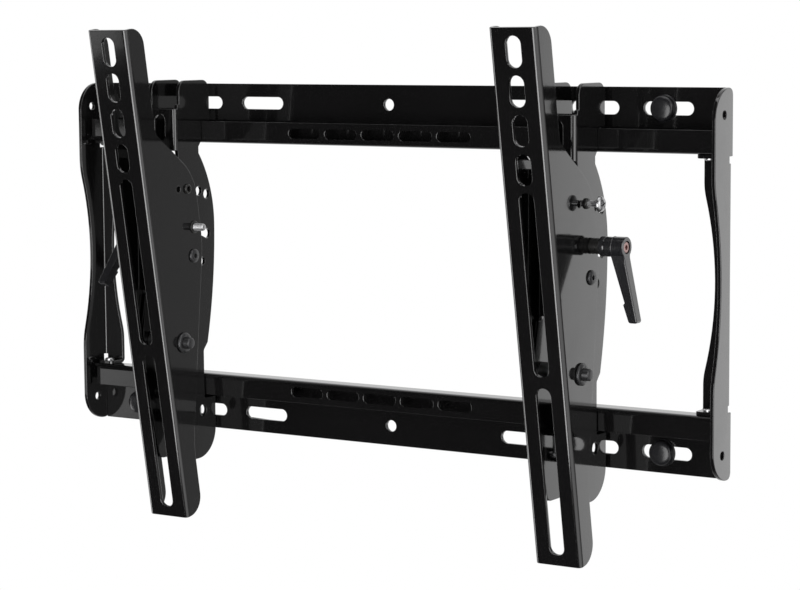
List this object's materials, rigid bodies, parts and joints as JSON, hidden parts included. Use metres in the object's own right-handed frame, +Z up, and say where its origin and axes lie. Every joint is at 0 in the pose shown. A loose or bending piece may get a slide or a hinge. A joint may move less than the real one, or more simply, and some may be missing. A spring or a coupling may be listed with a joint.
{
  "type": "tilting tv wall bracket",
  "caption": "Tilting wall bracket for a flat screen: a wall plate with slotted rails, two sliding hook brackets, and arms that tilt and lock with a lever handle.",
  "frame": {"origin": "middle of the wall plate, on the wall's plane", "axes": "+X to the right along the wall, +Y into the wall, +Z up"},
  "size_m": [0.49, 0.1004, 0.3327],
  "materials": {
    "gloss_black_paint": "gloss powder coat on folded steel sheet",
    "black_plastic": "glossy moulded plastic",
    "black_steel": "blackened steel, semi-gloss",
    "black_oxide_steel": "black oxide",
    "black_lever": "satin powder coat on die-cast zinc",
    "zinc_plate": "bright zinc plating",
    "rivet_steel": "plain steel rivet",
    "copper_screw": "reddish plated screw"
  },
  "bodies": {
    "wall_plate": {"upper_rail": "gloss_black_paint", "lower_rail": "gloss_black_paint", "left_end_bracket": "gloss_black_paint", "right_end_bracket": "gloss_black_paint", "upper_left_rivet": "rivet_steel", "upper_right_rivet": "rivet_steel", "lower_left_rivet": "rivet_steel", "lower_right_rivet": "rivet_steel", "upper_left_cap": "black_plastic", "upper_right_cap": "black_plastic", "lower_left_cap": "black_plastic", "lower_right_cap": "black_plastic"},
    "left_hook": {"left_hook_bracket": "gloss_black_paint", "left_pivot_spacer": "zinc_plate"},
    "left_lock": {"left_lock_screw": "zinc_plate"},
    "left_tilting_arm": {"left_arm": "gloss_black_paint", "left_pivot_pin": "black_steel", "left_outer_pivot_washer": "black_steel", "left_inner_pivot_washer": "black_steel", "left_outer_guide_screw": "black_steel", "left_inner_guide_screw": "black_steel", "left_guide_spacer": "zinc_plate", "left_outer_index_nut": "zinc_plate", "left_inner_index_nut": "zinc_plate", "left_clamp_stud": "zinc_plate", "left_stud_collar": "zinc_plate"},
    "left_clamp": {"left_clamp_insert": "black_oxide_steel", "left_retaining_screw": "copper_screw", "left_lever_spring": "zinc_plate"},
    "left_lever": {"left_clamp_lever": "black_lever"},
    "left_index": {"left_index_screw": "zinc_plate"},
    "right_hook": {"right_hook_bracket": "gloss_black_paint", "right_pivot_spacer": "zinc_plate"},
    "right_lock": {"right_lock_screw": "zinc_plate"},
    "right_tilting_arm": {"right_arm": "gloss_black_paint", "right_pivot_pin": "black_steel", "right_outer_pivot_washer": "black_steel", "right_inner_pivot_washer": "black_steel", "right_outer_guide_screw": "black_steel", "right_inner_guide_screw": "black_steel", "right_guide_spacer": "zinc_plate", "right_outer_index_nut": "zinc_plate", "right_inner_index_nut": "zinc_plate", "right_clamp_stud": "zinc_plate", "right_stud_collar": "zinc_plate"},
    "right_clamp": {"right_clamp_insert": "black_oxide_steel", "right_retaining_screw": "copper_screw", "right_lever_spring": "zinc_plate"},
    "right_lever": {"right_clamp_lever": "black_lever"},
    "right_index": {"right_index_screw": "zinc_plate"}
  },
  "joints": [
    {"name": "left_hook_slide", "type": "slide", "parent": "wall_plate", "child": "left_hook", "axis": [-1, 0, 0], "range_m": [-0.09, 0.028]},
    {"name": "left_lock_screw_slide", "type": "slide", "parent": "left_hook", "child": "left_lock", "axis": [0, 0, 1], "range_m": [-0.003, 0.0065]},
    {"name": "left_tilt", "type": "hinge", "parent": "left_hook", "child": "left_tilting_arm", "pos_m": [-0.1559, -0.0444, -0.0547], "axis": [1, 0, 0], "range_deg": [-14.7, 5.3]},
    {"name": "left_clamp_turn", "type": "hinge", "parent": "left_tilting_arm", "child": "left_clamp", "pos_m": [-0.1759, -0.03099, 0.02295], "axis": [1, 0, 0], "range_deg": [-142, 38]},
    {"name": "left_lever_pull", "type": "slide", "parent": "left_clamp", "child": "left_lever", "axis": [-1, 0, 0], "range_m": [0, 0.0029], "stiffness_N_per_m": 800, "springref_m": -0.003, "deforming": ["left_lever_spring"]},
    {"name": "left_index_screw_slide", "type": "slide", "parent": "left_tilting_arm", "child": "left_index", "axis": [-1, 0, 0], "range_m": [-0.0073, 0.003]},
    {"name": "right_hook_slide", "type": "slide", "parent": "wall_plate", "child": "right_hook", "axis": [1, 0, 0], "range_m": [-0.09, 0.028]},
    {"name": "right_lock_screw_slide", "type": "slide", "parent": "right_hook", "child": "right_lock", "axis": [0, 0, 1], "range_m": [-0.003, 0.0065]},
    {"name": "right_tilt", "type": "hinge", "parent": "right_hook", "child": "right_tilting_arm", "pos_m": [0.1493, -0.0444, -0.0547], "axis": [1, 0, 0], "range_deg": [-14.6, 5.4]},
    {"name": "right_clamp_turn", "type": "hinge", "parent": "right_tilting_arm", "child": "right_clamp", "pos_m": [0.1693, -0.03085, 0.02293], "axis": [1, 0, 0], "range_deg": [-170, 10]},
    {"name": "right_lever_pull", "type": "slide", "parent": "right_clamp", "child": "right_lever", "axis": [1, 0, 0], "range_m": [0, 0.0029], "stiffness_N_per_m": 800, "springref_m": -0.003, "deforming": ["right_lever_spring"]},
    {"name": "right_index_screw_slide", "type": "slide", "parent": "right_tilting_arm", "child": "right_index", "axis": [1, 0, 0], "range_m": [-0.0073, 0.003]}
  ]
}
